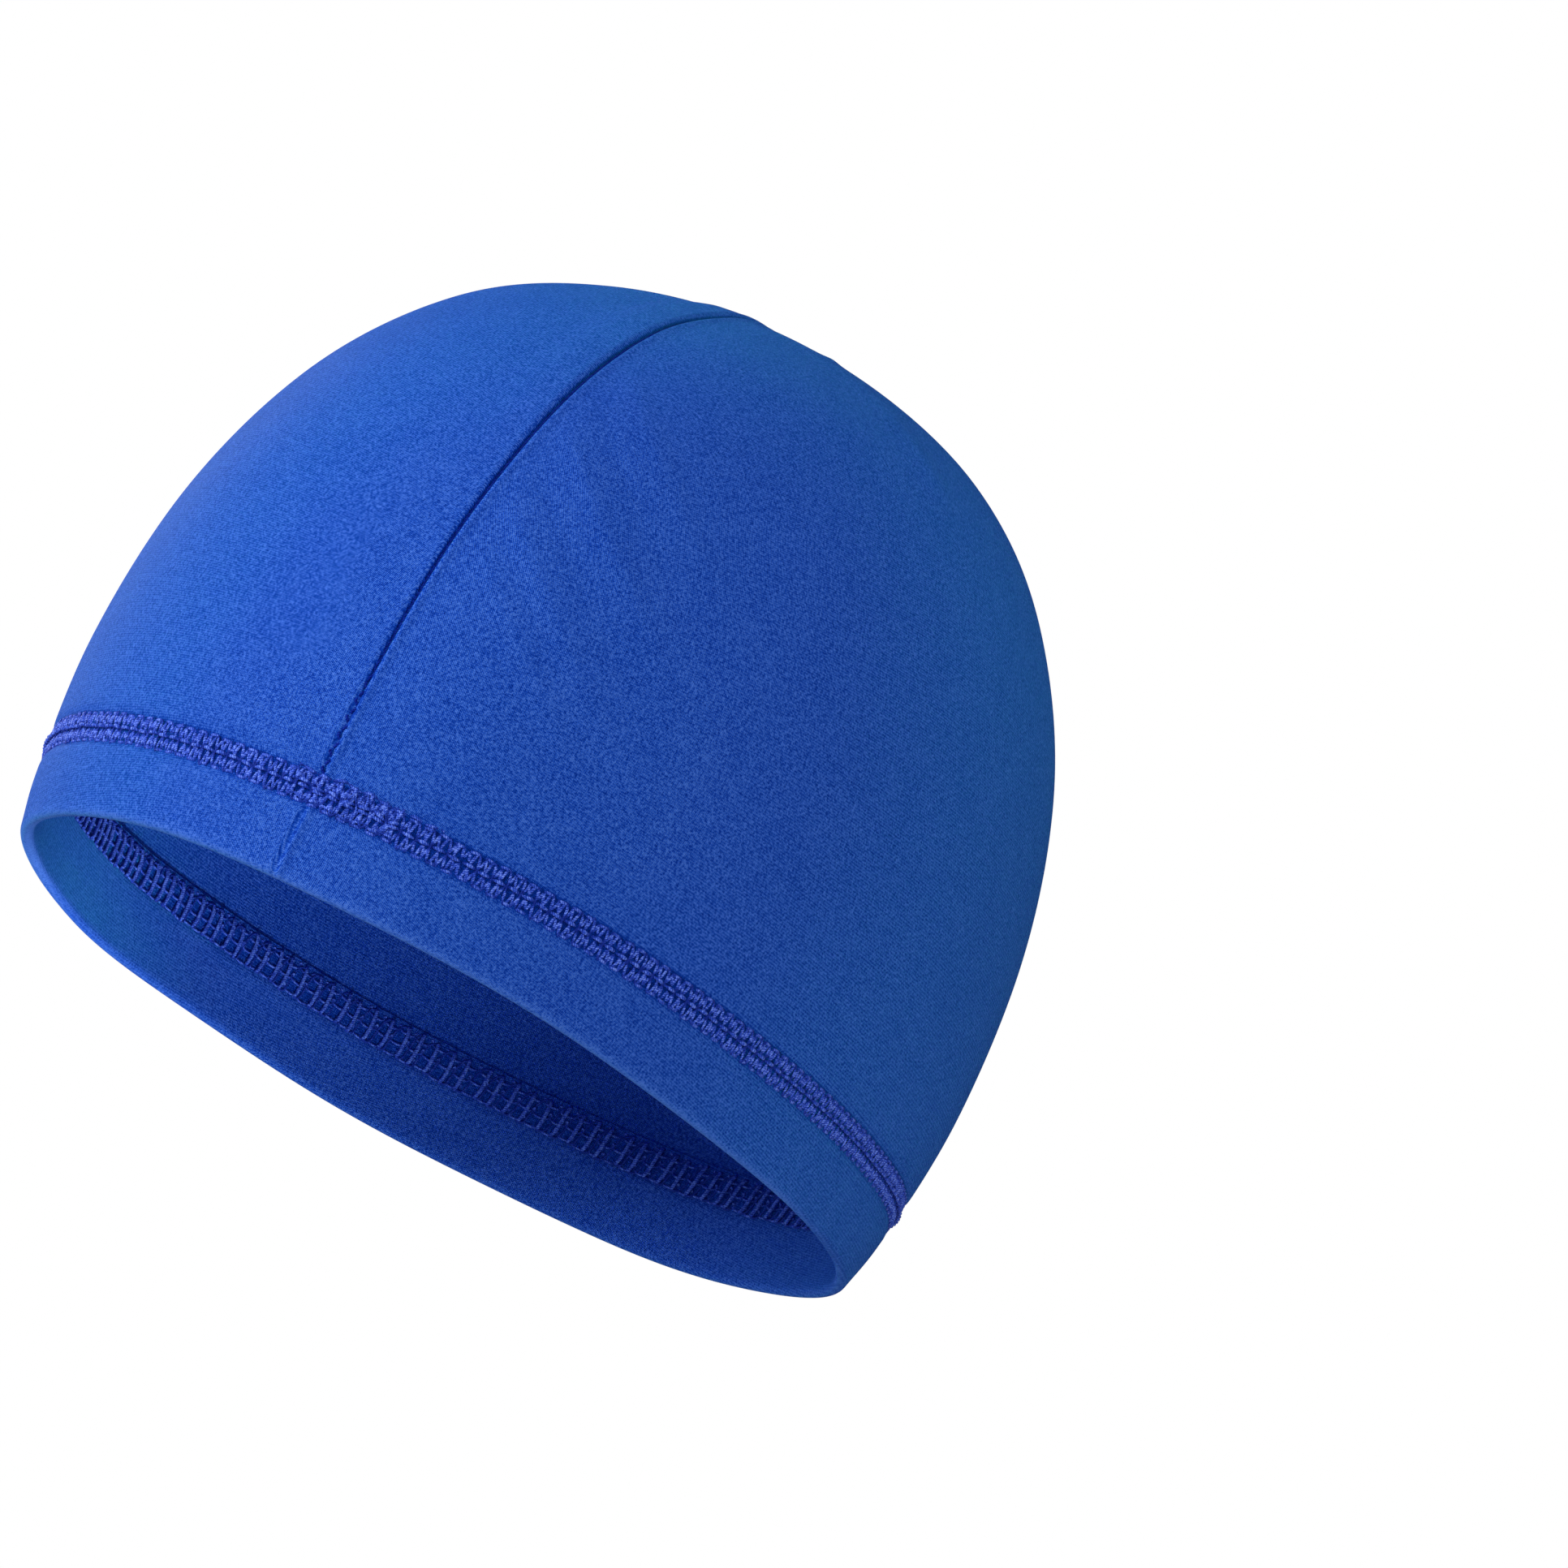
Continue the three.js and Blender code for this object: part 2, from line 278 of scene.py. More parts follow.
def new_group(name, inputs, outputs):
    """An empty node group with number or vector inputs, given as name and default, and outputs."""
    tree = bpy.data.node_groups.new(name, "ShaderNodeTree")
    for label, value in inputs.items():
        kind = "NodeSocketVector" if value is None else "NodeSocketFloat"
        socket = tree.interface.new_socket(label, in_out="INPUT", socket_type=kind)
        if value is not None:
            socket.default_value = value
    for label, kind in outputs.items():
        tree.interface.new_socket(label, in_out="OUTPUT", socket_type=kind)
    return tree, tree.nodes.new("NodeGroupInput").outputs, tree.nodes.new("NodeGroupOutput").inputs


def knit_group():
    """Fine interlock knit. Across a wale, two legs of stitches stand up, 1/2 - cos(4 pi u) / 2, and
    along it they slope towards each other, sin(2 pi (v + |u|)). Two noises make the yarn uneven."""
    tree, given, result = new_group(
        "fine_interlock",
        {"Cloth": None, "Place": None, "Wale": 0.6, "Course": 0.5, "Speckle": 2400.0},
        {"Height": "NodeSocketFloat", "Tone": "NodeSocketFloat"},
    )
    cloth = tree.nodes.new("ShaderNodeSeparateXYZ")
    tree.links.new(given["Cloth"], cloth.inputs[0])
    across = calculate(tree, "DIVIDE", cloth.outputs[0], given["Wale"])
    along = calculate(tree, "DIVIDE", cloth.outputs[1], given["Course"])
    u = calculate(tree, "SUBTRACT", calculate(tree, "FRACT", across), 0.5)
    legs = calculate(tree, "COSINE", calculate(tree, "MULTIPLY", u, 4 * math.pi))
    legs = calculate(tree, "MULTIPLY_ADD", legs, -0.5, 0.5)
    slope = calculate(tree, "ADD", along, calculate(tree, "ABSOLUTE", u))
    loops = calculate(tree, "SINE", calculate(tree, "MULTIPLY", slope, 2 * math.pi))
    loops = calculate(tree, "MULTIPLY_ADD", loops, 0.35, 0.65)
    stitches = calculate(tree, "MULTIPLY", legs, loops)
    grain = add_node(tree, "ShaderNodeTexNoise", Vector=given["Place"], Scale=given["Speckle"],
                     Detail=1.5, Roughness=0.6)
    slow = add_node(tree, "ShaderNodeTexNoise", Vector=given["Place"], Scale=120.0, Detail=3.0)
    height = calculate(tree, "MULTIPLY_ADD", grain, 0.8, calculate(tree, "MULTIPLY", stitches, 0.6))
    tone = calculate(tree, "MULTIPLY_ADD", grain, 0.72, calculate(tree, "MULTIPLY", slow, 0.06))
    tone = calculate(tree, "MULTIPLY_ADD", stitches, 0.28, tone)
    tree.links.new(height, result["Height"])
    tree.links.new(tone, result["Tone"])
    return tree


def new_material(name):
    """A material with its tree, its Principled BSDF, and its UV and Object coordinate sockets."""
    material = bpy.data.materials.new(name)
    material.use_nodes = True
    tree = material.node_tree
    shader = tree.nodes["Principled BSDF"]
    coordinates = tree.nodes.new("ShaderNodeTexCoord").outputs
    return material, tree, shader, coordinates["UV"], coordinates["Object"]


def ramp(tree, factor, stops):
    """A Color Ramp through stops, each a position and a linear colour."""
    node = tree.nodes.new("ShaderNodeValToRGB")
    for element, (position, _) in zip(node.color_ramp.elements, (stops[0], stops[-1])):
        element.position = position
    for position, _ in stops[1:-1]:
        node.color_ramp.elements.new(position)
    for element, (_, colour) in zip(node.color_ramp.elements, stops):
        element.color = (*colour, 1)
    tree.links.new(factor, node.inputs[0])
    return node.outputs[0]


# the darkest stop, which mostly painted shade reaches
KNIT_PAINTED_SHADE = (0.001, 0.010, 0.12)
KNIT_DARK = (0.002, 0.038, 0.385)
KNIT_BLUE = (0.016, 0.094, 0.565)
KNIT_LIGHT = (0.075, 0.200, 0.755)
WALE, COURSE = 0.0062, 0.0052  # widths of a column and a row of stitches, in units of 10 cm
fine_interlock = knit_group()


def knit_material(name, dark, middle, light, sheen):
    """Fine interlock in a range of blues, with its stitches as bump. UVs are in units of 10 cm. Painted
    shade from the painted_shading attribute darkens the tone in needle holes, under threads and in the
    seam's groove; where the attribute is below 0 it is a painted highlight that makes the tone paler."""
    material, tree, shader, uv, place = new_material(name)
    group = tree.nodes.new("ShaderNodeGroup")
    group.node_tree = fine_interlock
    tree.links.new(uv, group.inputs["Cloth"])
    tree.links.new(place, group.inputs["Place"])
    group.inputs["Wale"].default_value = WALE
    group.inputs["Course"].default_value = COURSE
    painted_shading = tree.nodes.new("ShaderNodeAttribute")
    painted_shading.attribute_name = "painted_shading"
    # painted shade darkens the tone, and a painted highlight lightens it
    tone = calculate(tree, "MULTIPLY_ADD", painted_shading.outputs["Fac"], -0.36, group.outputs["Tone"])
    stops = ((0.08, KNIT_PAINTED_SHADE), (0.35, dark), (0.485, middle), (0.64, light))
    tree.links.new(ramp(tree, tone, stops), shader.inputs["Base Color"])
    stand = add_node(tree, "ShaderNodeBump", Strength=0.6, Distance=0.0003,
                     Height=group.outputs["Height"])
    tree.links.new(stand, shader.inputs["Normal"])
    shader.inputs["Roughness"].default_value = 0.6
    shader.inputs["Specular IOR Level"].default_value = 0.03
    shader.inputs["Specular Tint"].default_value = (0.35, 0.60, 1.0, 1)
    shader.inputs["Sheen Weight"].default_value = sheen
    shader.inputs["Sheen Roughness"].default_value = 0.18
    shader.inputs["Sheen Tint"].default_value = (0.05, 0.74, 0.9, 1)
    return material


knit = knit_material("knit_cloth", KNIT_DARK, KNIT_BLUE, KNIT_LIGHT, 0.2)

CLOTH_THICKNESS = 1 * MM
PLY_GAP = 0.3 * MM
PLY_FACE = 2 * CLOTH_THICKNESS + PLY_GAP
FOLD_RADIUS = CLOTH_THICKNESS + PLY_GAP / 2
HEM_DEPTH = 19.5 * MM
PLY_PRESSED = 1.6 * MM
SEAM_OFFSETS = np.array([0, 0.12, 0.28, 0.5, 0.8, 1.2, 1.7, 2.4, 3.3, 4.4, 5.8, 7.4, 9.2, 11.2]) * MM
SEAM_OFFSET_SHARES = np.linspace(0, 0.32, len(SEAM_OFFSETS))  # where a ring is too small for those
FAR_COLUMNS = 61
POLE_RINGS = np.array([0.2, 0.45, 0.8, 1.3, 2.0, 3.0, 4.4, 6.2]) * MM


def ring_angles(rise):
    """Angles of the columns on each ring. In a quarter, the first stand at set distances from the
    plane of the seam, x = a * sin(angle)^(2/n), and the others share the rest evenly."""
    half = levels_at(rise)[0][:, :1] * CAP_WIDTH / 2
    near = np.minimum(SEAM_OFFSETS, SEAM_OFFSET_SHARES * half) / half
    near = np.arcsin(near ** (SECTION_POWER / 2))
    share = np.arange(1, FAR_COLUMNS + 1) / FAR_COLUMNS
    quarter = np.hstack([near, near[:, -1:] + (math.pi / 2 - near[:, -1:]) * share])
    forward, backward = quarter[:, :-1], quarter[:, :0:-1]
    return np.hstack([
        SEAM_SIDE + forward, PLAIN_SIDE - backward, PLAIN_SIDE + forward, 3 * PLAIN_SIDE - backward,
    ])


def cloth_uv(points):
    """The flat cloth of each half, in units of 10 cm, laid out round the middle of its side. The
    distance is the angle from there times the radius, and the direction is kept."""
    x, y, z = np.moveaxis(points - (0, 0, 35 * MM), -1, 0)
    across = np.hypot(y, z) + 1e-9
    length = np.arctan2(across, np.abs(x)) * np.sqrt(x * x + y * y + z * z)
    return np.stack([length * y / across, length * z / across], -1) / 0.1


def closed_uv(points):
    """The cloth UVs of rings of points, with the first column again at the end."""
    uv = cloth_uv(points)
    return np.concatenate([uv, uv[:, :1]], axis=1)


def wall_rises(step, foot):
    """Rises from near the apex down to a foot: a few rings round the apex, then even steps."""
    place = smooth_face(np.full(len(RISES), SEAM_SIDE), RISES)[0]
    climb = distances_along(place)
    above = climb[-1] - climb
    last = np.interp(foot, HEIGHTS, above)
    even = np.linspace(POLE_RINGS[-1], last, round((last - POLE_RINGS[-1]) / step) + 1)
    return np.interp(np.append(POLE_RINGS[:-1], even), above[::-1], RISES[::-1])


def ply_depth(height):
    """Depth of the inner face of the turned-up ply, which the stitching presses against the wall."""
    return PLY_FACE + (PLY_PRESSED - PLY_FACE) * smooth(height, 11.2 * MM, 13.4 * MM)


# strengths of the shade painted under the stitching, outside and on the turned-up ply
PAINTED_SHADE_OUTSIDE, PAINTED_SHADE_INSIDE = 0.75, 0.34
PAINTED_WALL_SHADE = 0.08  # painted shade: the inside of the wall is a little darker
FOLD_PAINTED_HIGHLIGHT = 0.45  # painted highlight: the fold of the hem is paler on the seam side
SEAM_DARK = (0.12 * MM, 0.52 * MM)  # distances over which the shade painted in the groove of the seam fades
SEAM_DARK_HEIGHTS = (3, 12, 30, 40)  # mm
SEAM_DARK_SHARES = (0.05, 0.14, 0.2, 1)


def painted_shading_at(place, depth):
    """Shade painted onto the cloth, up to 1: under the cover stitching outside, under the looper
    threads on the turned-up ply, at the bottom of the groove of the seam, and a little over the inside
    of the wall. Below 0 it is a highlight painted on the fold of the hem on the seam side."""
    x, y, z = np.moveaxis(place, -1, 0)
    outside = PAINTED_SHADE_OUTSIDE * smooth(z, 12 * MM, 12.8 * MM) * (1 - smooth(z, 17.2 * MM, 18 * MM))
    groove = seam_share(place) * (1 - smooth(np.abs(x), *SEAM_DARK))
    groove *= np.interp(z / MM, SEAM_DARK_HEIGHTS, SEAM_DARK_SHARES)
    outside = np.maximum(outside, groove)
    inside = PAINTED_SHADE_INSIDE * smooth(z, 12.8 * MM, 13.6 * MM) * (1 - smooth(z, 17.8 * MM, 19.2 * MM))
    inside = np.where(depth > CLOTH_THICKNESS + PLY_GAP, inside, PAINTED_WALL_SHADE)
    fold = (1 - smooth(z, 0.3 * MM, 1.5 * MM)) * smooth(-y, 0, 40 * MM)
    return np.where(depth <= 0, outside, inside) - FOLD_PAINTED_HIGHLIGHT * fold


def cap_cloth():
    """The section of the cloth, carried round the cap: down the outside, round the fold, up the
    turned-up ply to its cut edge, down between the plies and up the inside of the wall."""
    hem_zone = 34 * MM
    upper = wall_rises(1.6 * MM, hem_zone)
    lower = rise_at(np.arange(hem_zone, FOLD_RADIUS, -0.7 * MM)[1:])
    turn = np.linspace(0, math.pi, 13)
    ply = np.linspace(FOLD_RADIUS, HEM_DEPTH, 24)[1:]
    edge_turn = np.linspace(0, math.pi, 7)[1:-1]
    edge = rise_at(HEM_DEPTH + 0.25 * MM * np.sin(edge_turn))
    back = rise_at(np.linspace(HEM_DEPTH, FOLD_RADIUS, 6))
    inner_upper = wall_rises(2.6 * MM, hem_zone)[::-1]
    inner_lower = rise_at(np.linspace(FOLD_RADIUS, hem_zone, 9)[:-1])
    ply_back = CLOTH_THICKNESS + PLY_GAP * np.linspace(0.15, 1, len(back))
    edge_middle, edge_half = (PLY_PRESSED + ply_back[0]) / 2, (PLY_PRESSED - ply_back[0]) / 2
    rows = (
        (upper, 0.0), (lower, 0.0),
        (rise_at(FOLD_RADIUS * (1 - np.sin(turn))), FOLD_RADIUS * (1 - np.cos(turn))),
        (rise_at(ply), ply_depth(ply)),
        (edge, edge_middle + edge_half * np.cos(edge_turn)),
        (back, ply_back),
        (rise_at(np.array([FOLD_RADIUS - PLY_GAP / 2])), FOLD_RADIUS),
        (inner_lower, CLOTH_THICKNESS), (inner_upper, CLOTH_THICKNESS),
    )
    rises = np.concatenate([rise for rise, _ in rows])
    depths = np.concatenate([np.broadcast_to(depth, rise.shape) for rise, depth in rows])
    angles = ring_angles(rises)
    points = cloth_point(angles, rises[:, None], depths[:, None])[0]
    # the shade and highlight painted onto each point of the cloth
    painted_shading = painted_shading_at(smooth_face(angles, rises[:, None])[0], depths[:, None])
    apex = cloth_point(np.full(2, SEAM_SIDE), np.ones(2), np.array([0, CLOTH_THICKNESS]))[0]
    poles = (apex[:1], apex[1:])
    return grid_part(points[None], closed_uv(points)[None], poles=poles, painted_shading=painted_shading[None])


cloth = new_piece("cap_cloth", [cap_cloth()], knit)
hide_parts("cap_body")
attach(cloth, "root")


# The cover stitching outside: three rows of needle thread and a bulky cover thread that crosses
# from row to row. It was sewn with textured polyester, and its end laps over its start.
def ring_line(height, depth=0.0):
    """Angles round the cap at a height, and the distance along the cloth from the foot of the seam."""
    angles = np.linspace(SEAM_SIDE, 3 * PLAIN_SIDE, 4001)
    place, normal = smooth_face(angles, rise_at(height))
    place = place - depth * normal
    return angles, distances_along(place)


THREAD_SIDES = 6


def thread_part(path, up, radius, closed=False, flat=0.85, painted_shading=0.0):
    """A thread along each path: at each point a ring of THREAD_SIDES points, radius times
    (cos t * side + flat * sin t * up), where side is the path's direction crossed with up."""
    painted_shading = np.broadcast_to(painted_shading, path.shape[:2])[..., None]
    if closed:
        padded = np.concatenate([path[:, -1:], path, path[:, :1]], axis=1)
        along = padded[:, 2:] - padded[:, :-2]
        steps = np.linalg.norm(padded[:, 2:] - padded[:, 1:-1], axis=-1)
    else:
        along = np.gradient(path, axis=1)
        steps = np.linalg.norm(np.diff(path, axis=1), axis=-1)
    along /= np.linalg.norm(along, axis=-1, keepdims=True)
    side = np.cross(along, up)
    side /= np.linalg.norm(side, axis=-1, keepdims=True)
    up = np.cross(side, along)
    turn = (np.arange(THREAD_SIDES) / THREAD_SIDES * 2 * math.pi)[:, None]
    radius = np.broadcast_to(radius, path.shape[:2])[..., None, None]
    rings = path[:, :, None] + radius * (
        np.cos(turn) * side[:, :, None] + flat * np.sin(turn) * up[:, :, None])
    length = np.concatenate([np.zeros((len(path), 1)), np.cumsum(steps, axis=1)], axis=1)
    u = np.broadcast_to(length[..., None], (*length.shape, THREAD_SIDES + 1)) / 0.1
    v = np.broadcast_to(np.arange(THREAD_SIDES + 1) / THREAD_SIDES, u.shape)
    ends = () if closed else (path[:, 0], path[:, -1])
    return grid_part(rings, np.stack([u, v], -1), wrap_rows=closed, poles=ends, painted_shading=painted_shading)


def thread_group():
    """Textured thread: two plies twisted together show as slanting ribs, |sin(2 pi (u / lay + v))|,
    and loose filaments as a fine noise."""
    tree, given, result = new_group(
        "twisted_thread", {"Thread": None, "Place": None, "Lay": 0.008, "Fluff": 2200.0},
        {"Height": "NodeSocketFloat", "Tone": "NodeSocketFloat"},
    )
    thread = tree.nodes.new("ShaderNodeSeparateXYZ")
    tree.links.new(given["Thread"], thread.inputs[0])
    turns = calculate(tree, "DIVIDE", thread.outputs[0], given["Lay"])
    turns = calculate(tree, "ADD", turns, thread.outputs[1])
    ribs = calculate(tree, "SINE", calculate(tree, "MULTIPLY", turns, 2 * math.pi))
    ribs = calculate(tree, "ABSOLUTE", ribs)
    fluff = add_node(tree, "ShaderNodeTexNoise", Vector=given["Place"], Scale=given["Fluff"], Detail=2.0)
    height = calculate(tree, "MULTIPLY_ADD", fluff, 0.5, ribs)
    tone = calculate(tree, "MULTIPLY_ADD", fluff, 0.75, calculate(tree, "MULTIPLY", ribs, 0.2))
    tree.links.new(height, result["Height"])
    tree.links.new(tone, result["Tone"])
    return tree


twisted_thread = thread_group()


def thread_material(name, dark, middle, light, specular=0.45):
    """Textured polyester thread in a range of tones, with its twist as bump. Shade is painted on it
    from the painted_shading attribute where other threads hold it down, or where it goes through the
    cloth."""
    material, tree, shader, uv, place = new_material(name)
    group = tree.nodes.new("ShaderNodeGroup")
    group.node_tree = twisted_thread
    tree.links.new(uv, group.inputs["Thread"])
    tree.links.new(place, group.inputs["Place"])
    painted_shading = tree.nodes.new("ShaderNodeAttribute")
    painted_shading.attribute_name = "painted_shading"
    # painted shade from the attribute darkens the tone
    tone = calculate(tree, "MULTIPLY_ADD", painted_shading.outputs["Fac"], -0.3, group.outputs["Tone"])
    stops = ((0.31, dark), (0.49, middle), (0.62, light))
    tree.links.new(ramp(tree, tone, stops), shader.inputs["Base Color"])
    stand = add_node(tree, "ShaderNodeBump", Strength=0.5, Distance=0.00008,
                     Height=group.outputs["Height"])
    tree.links.new(stand, shader.inputs["Normal"])
    shader.inputs["Roughness"].default_value = 0.45
    shader.inputs["Specular IOR Level"].default_value = specular
    shader.inputs["Specular Tint"].default_value = (0.35, 0.60, 1.0, 1)
    return material


STITCHES = 192
FAR_STRETCH = 0.105
NEEDLE_ROWS = np.array([12.55, 14.9, 17.2]) * MM
NEEDLE_STAND = (0.4, 0.95, 0.4)  # mm; the middle row stands up between the holes
NEEDLE_DIP = 0.35  # mm below the cloth at the holes
NEEDLE_STEPS, COVER_STEPS = 8, 18  # points to a stitch
HOLE_LEAD = 0.25  # how far the needle holes come before each whole stitch
OUTER_ANGLES, OUTER_LINE = ring_line(15 * MM)
cover_thread = thread_material(
    "cover_thread", (0.009, 0.028, 0.31), (0.035, 0.096, 0.66), (0.18, 0.30, 0.99), 0.14)


def ring_distance(stitch, line):
    """Distance round a ring at a stitch number. The far side is stretched more, so its stitches are
    longer: length * (t - k sin(2 pi t) / (2 pi)), where t is the share of the stitches."""
    t = stitch / STITCHES
    return line[-1] * (t - FAR_STRETCH * np.sin(2 * math.pi * t) / (2 * math.pi)) % line[-1]


def outer_band(stitch, height, proud):
    """Points above the cloth of the outer band, and normals, at stitch numbers."""
    angle = np.interp(ring_distance(stitch, OUTER_LINE), OUTER_LINE, OUTER_ANGLES)
    return cloth_point(angle, rise_at(height), -proud)


def wander(stitch, seed):
    """Unevenness from -1 to 1 that comes round again after the last stitch."""
    t = 2 * math.pi * stitch / STITCHES
    return np.sin(61 * t + 3 * seed) * np.sin(23 * t + 5 * seed) + 0.4 * np.sin(127 * t + 7 * seed)


def outer_wander(stitch, seed):
    """The unevenness of the outer band, which is greatest by the seam and none opposite it."""
    return wander(stitch, seed) * (0.5 + 0.5 * np.cos(2 * math.pi * stitch / STITCHES))


def needle_rows(first, stitches, closed=False, shift=0.0, uneven=0.13, lift=0.0):
    """Needle thread: each stitch is a low arch, proud = lift - dip + stand * |sin(pi (t + 1/4))| at
    stitch t, so that it goes into the cloth at the needle holes between stitches."""
    t = first + np.arange(round(stitches * NEEDLE_STEPS) + (not closed)) / NEEDLE_STEPS
    parts = []
    for row, stand in zip(NEEDLE_ROWS, NEEDLE_STAND):
        arch = np.abs(np.sin(math.pi * (t + HOLE_LEAD)))
        proud = (lift - NEEDLE_DIP + stand * arch) * MM
        path, up = outer_band(t, row + (shift + uneven * outer_wander(t, row / MM)) * MM, proud)
        radius = (0.14 + 0.13 * arch * (1 + stand) / 1.4) * MM
        # shade painted on the thread where it dips into the cloth at the needle holes
        parts.append(thread_part(path[None], up[None], radius[None], closed, painted_shading=1 - arch[None]))
    return parts


def cover_zigzag(first, stitches, half, radius, lean, closed=False,
                 shift=0.0, uneven=0.19, lift=0.0):
    """Cover thread: in a stitch it crosses all rows and comes back, held down at each row. Height
    follows a rounded triangle wave, arcsin(0.97 cos(2 pi t)), and place leans by sin(4 pi t). Both,
    the thickness and how proud it stands wander, most by the seam."""
    t = first + np.arange(round(stitches * COVER_STEPS) + (not closed)) / COVER_STEPS
    turn = 2 * math.pi * (t - first)
    wave = np.arcsin(0.97 * np.cos(turn)) / math.asin(0.97)
    height = sum(NEEDLE_ROWS) / 3 + (shift + uneven * outer_wander(t, half)) * MM - half * MM * wave
    hold = np.cos(math.pi * wave) ** 4  # at a row the needle thread holds it down
    hole = np.cos(math.pi * (t + HOLE_LEAD)) ** 2
    proud = (lift + 0.14 - 0.22 * hold + uneven * outer_wander(t, 2 + half)) * MM
    sway = lean * np.sin(2 * turn) + 0.09 * outer_wander(t, 5 + half)
    path, up = outer_band(t + sway, height, proud)
    radius = (1 - 0.3 * hold + 0.14 * outer_wander(t, 7 + half)) * radius * MM
    # shade painted on the thread where the needle thread holds it down, most at the holes
    shade_paint = hold * (0.3 + hole)
    return [thread_part(path[None], up[None], radius[None], closed, 0.75, shade_paint[None])]


parts = needle_rows(0, STITCHES, True)
parts += cover_zigzag(0, STITCHES, 2.65, 0.27, 0.05, True)
parts += cover_zigzag(0.5, STITCHES, 2.5, 0.25, -0.05, True, lift=-0.06)
# the last stitches lap over the first, a little higher up
parts += needle_rows(-1.5, 7, shift=0.6, uneven=0.35, lift=0.25)
parts += cover_zigzag(-1.4, 7, 2.6, 0.27, 0.12, shift=0.3, uneven=0.25, lift=0.2)
parts += cover_zigzag(0.9, 4.5, 2.3, 0.25, -0.1, shift=1.0, uneven=0.3, lift=0.3)
parts += needle_rows(5.3, 2.8, shift=0.5, uneven=0.2, lift=0.1)[2:]
cover_stitch = new_piece("hem_cover_stitch", parts, cover_thread)
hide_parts("hem_stitch_outer")
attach(cover_stitch, "root")


# The looper side of the same stitching, on the turned-up ply inside: the looper thread runs across
# the band in steep strokes, and the loops of the three needle threads hold it.
INNER_ANGLES, INNER_LINE = ring_line(15.9 * MM, PLY_FACE)
INNER_FOOT, INNER_TOP = 12.9 * MM, 18.9 * MM
LOOP_ROWS = ((0.7, 0.0), (3.0, 0.14), (5.3, 0.0))  # mm above INNER_FOOT, and how proud each stands
LOOPER_STEPS, LOOP_STEPS = 18, 12  # points to a stitch
looper_thread = thread_material(
    "looper_thread", (0.010, 0.034, 0.34), (0.046, 0.112, 0.66), (0.14, 0.27, 0.88), 0.12)


def inner_band(stitch, height, proud):
    """Points above the inner face of the turned-up ply, and normals that look inwards."""
    angle = np.interp(ring_distance(stitch, INNER_LINE), INNER_LINE, INNER_ANGLES)
    point, normal = cloth_point(angle, rise_at(height), ply_depth(height) + proud)
    return point, -normal


def looper_strokes():
    """Looper thread: height is a steepened wave, tanh(2.6 cos(2 pi t)), so that each stitch has one
    long stroke up, which stands out, and one down, which lies low behind it. The strokes swing
    sideways by 0.33 cos(2 pi t) stitches, bend in an S by 0.05 sin(6 pi t), and wander."""
    t = np.arange(STITCHES * LOOPER_STEPS) / LOOPER_STEPS
    c, s = np.cos(2 * math.pi * t), np.sin(2 * math.pi * t)
    height = (INNER_FOOT + INNER_TOP) / 2 - (INNER_TOP - INNER_FOOT) / 2 * np.tanh(2.6 * c)
    height += 0.22 * MM * wander(t, 1)
    proud = (0.32 + 0.3 * s - 0.14 * c**4 + 0.1 * wander(t, 2)) * MM
    radius = (0.3 + 0.08 * s) * MM
    sway = 0.33 * c + 0.05 * np.sin(6 * math.pi * t) + 0.15 * wander(t, 3)
    path, up = inner_band(t + sway, height, proud)
    # shade painted on the low down stroke and at the turns of the strokes
    shade_paint = 0.35 - 0.35 * s + 0.6 * c**4
    return thread_part(path[None], up[None], radius[None], True, painted_shading=shade_paint[None])


def needle_loops():
    """Needle loops: in each row a flattened coil, forward by t - 0.27 sin(2 pi t) and up and down by
    0.6 cos(2 pi t) mm, so that the loops of one thread catch each other. The middle row is proudest."""
    t = np.arange(STITCHES * LOOP_STEPS) / LOOP_STEPS
    parts = []
    for row, lift in LOOP_ROWS:
        height = INNER_FOOT + (row + 0.6 * np.cos(2 * math.pi * t) + 0.25 * wander(t, row)) * MM
        proud = (lift + 0.16 * np.cos(4 * math.pi * t)) * MM
        path, up = inner_band(t - 0.27 * np.sin(2 * math.pi * t) + 0.3 * row, height, proud)
        # shade painted where the coil lies low
        low = 0.4 - 0.4 * np.cos(4 * math.pi * t)
        parts.append(thread_part(path[None], up[None], 0.2 * MM, True, painted_shading=low[None]))
    return parts


looper_stitch = new_piece("hem_looper_stitch", [looper_strokes(), *needle_loops()], looper_thread)
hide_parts("hem_stitch_inner")
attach(looper_stitch, "root")


# The seam allowance: both cut edges turned inside and pressed to the -X side, with an overlock
# thread looped over the edge and a needle thread along the seam.
ALLOWANCE_WIDTH = 5.2 * MM
ALLOWANCE_LAP = 0.8 * MM
ALLOWANCE_THICKNESS = 2 * MM
ALLOWANCE_CLEARANCE = 0.3 * MM
OVERLOCK_STITCH = 2.4 * MM
overlocked = knit_material(
    "overlocked_cloth", (0.008, 0.045, 0.28), (0.018, 0.08, 0.44), (0.04, 0.14, 0.58), 0.08)
overlock_thread = thread_material(
    "overlock_thread", (0.01, 0.03, 0.2), (0.03, 0.08, 0.42), (0.1, 0.2, 0.65))


def seam_path(step, foot, end):
    """Angles and rises along the seam, in even steps from a foot over the crown to its end."""
    rises = RISES[HEIGHTS >= foot]
    down = RISES[HEIGHTS >= end][::-1]
    angle = np.append(np.full(len(rises), SEAM_SIDE), np.full(len(down), PLAIN_SIDE))
    rise = np.append(rises, down)
    place = smooth_face(angle, rise)[0]
    line = distances_along(place)
    even = np.linspace(0, line[-1], round(line[-1] / step) + 1)
    crown = line[len(rises) - 1]
    there = np.interp(even, line, rise)
    return np.where(even < crown, SEAM_SIDE, PLAIN_SIDE), there, even


